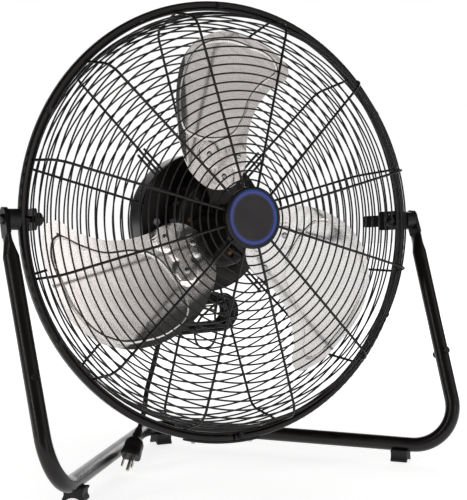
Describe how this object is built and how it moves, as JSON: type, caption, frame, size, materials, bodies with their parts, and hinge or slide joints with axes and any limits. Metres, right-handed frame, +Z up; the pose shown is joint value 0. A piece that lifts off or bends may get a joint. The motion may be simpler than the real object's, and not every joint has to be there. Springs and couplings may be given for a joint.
{
  "type": "floor fan",
  "caption": "Round high-velocity floor fan: wire-caged head with sheet-metal blades and a motor, tilting in a bent-tube floor stand, with its power cord tied in a hank.",
  "frame": {"origin": "on the floor, under the middle of the fan's bounding box without the cord", "axes": "+Z up; the fan blows towards -Y; +X is on the right of someone facing the fan"},
  "size_m": [0.6084, 0.3146, 0.5977],
  "materials": {
    "black_paint": "satin black powder coat",
    "wire_black": "satin black powder-coated wire",
    "blade_aluminium": "mill-finish aluminium sheet",
    "rivet_steel": "bright steel",
    "zinc_steel": "bright zinc plate",
    "bare_steel": "bare machined steel",
    "black_plastic": "black moulded plastic",
    "badge_charcoal": "charcoal printed face",
    "badge_blue": "blue printed ring",
    "foot_rubber": "black moulded rubber",
    "cord_pvc": "black flexible cord sheath",
    "plug_brass": "nickel-plated brass",
    "stator_iron": "stacked electrical steel",
    "winding_copper": "enamelled copper wire"
  },
  "bodies": {
    "stand": {"base_tube": "black_paint", "upper_leg_left": "black_paint", "upper_leg_right": "black_paint", "leg_bolt_left": "black_paint", "leg_bolt_right": "black_paint", "foot_front_left": "foot_rubber", "foot_front_right": "foot_rubber", "foot_rear": "foot_rubber", "pivot_bolt_left": "zinc_steel", "pivot_bolt_right": "zinc_steel", "pivot_nut_left": "black_paint", "pivot_nut_right": "black_paint"},
    "head": {"rim_band": "black_paint", "rim_joint_strap": "black_paint", "rim_joint_screws": "zinc_steel", "rim_clips": "black_paint", "front_guard": "wire_black", "rear_guard": "wire_black", "motor_stays": "wire_black", "badge_cap": "black_plastic", "badge_ring": "badge_blue", "badge_disc": "badge_charcoal", "guard_hub_plate": "black_paint", "pivot_bracket_left": "black_paint", "pivot_bracket_right": "black_paint", "pivot_spacer_left": "black_plastic", "pivot_spacer_right": "black_plastic", "motor_plate": "black_paint", "motor_shell": "black_paint", "motor_rear_cover": "black_paint", "motor_bolts": "zinc_steel", "stator_core": "stator_iron", "stator_windings": "winding_copper", "bearing_front": "bare_steel", "bearing_rear": "bare_steel", "switch_body": "black_plastic", "cord_gland": "black_plastic", "cord_lead": "cord_pvc", "cord_hank": "cord_pvc", "cord_tail": "cord_pvc", "cord_tie": "cord_pvc", "plug_body": "cord_pvc", "plug_blades": "plug_brass"},
    "rotor": {"rotor_shaft": "bare_steel", "hub_spider": "black_paint", "blade_1": "blade_aluminium", "blade_2": "blade_aluminium", "blade_3": "blade_aluminium", "blade_rivets": "rivet_steel", "hub_nut": "zinc_steel", "rotor_core": "stator_iron"},
    "knob": {"speed_knob": "black_plastic"}
  },
  "joints": [
    {"name": "head_tilt", "type": "hinge", "parent": "stand", "child": "head", "pos_m": [0, -0.04304, 0.318], "axis": [-1, 0, 0], "range_deg": [0, 86.75]},
    {"name": "rotor_spin", "type": "hinge", "parent": "head", "child": "rotor", "pos_m": [0, -0.04304, 0.318], "axis": [0, -0.9984, 0.0567], "continuous": true},
    {"name": "speed_knob", "type": "hinge", "parent": "head", "child": "knob", "pos_m": [0, 0.06606, 0.26373], "axis": [0, -0.9984, 0.0567], "range_deg": [0, 135]}
  ]
}
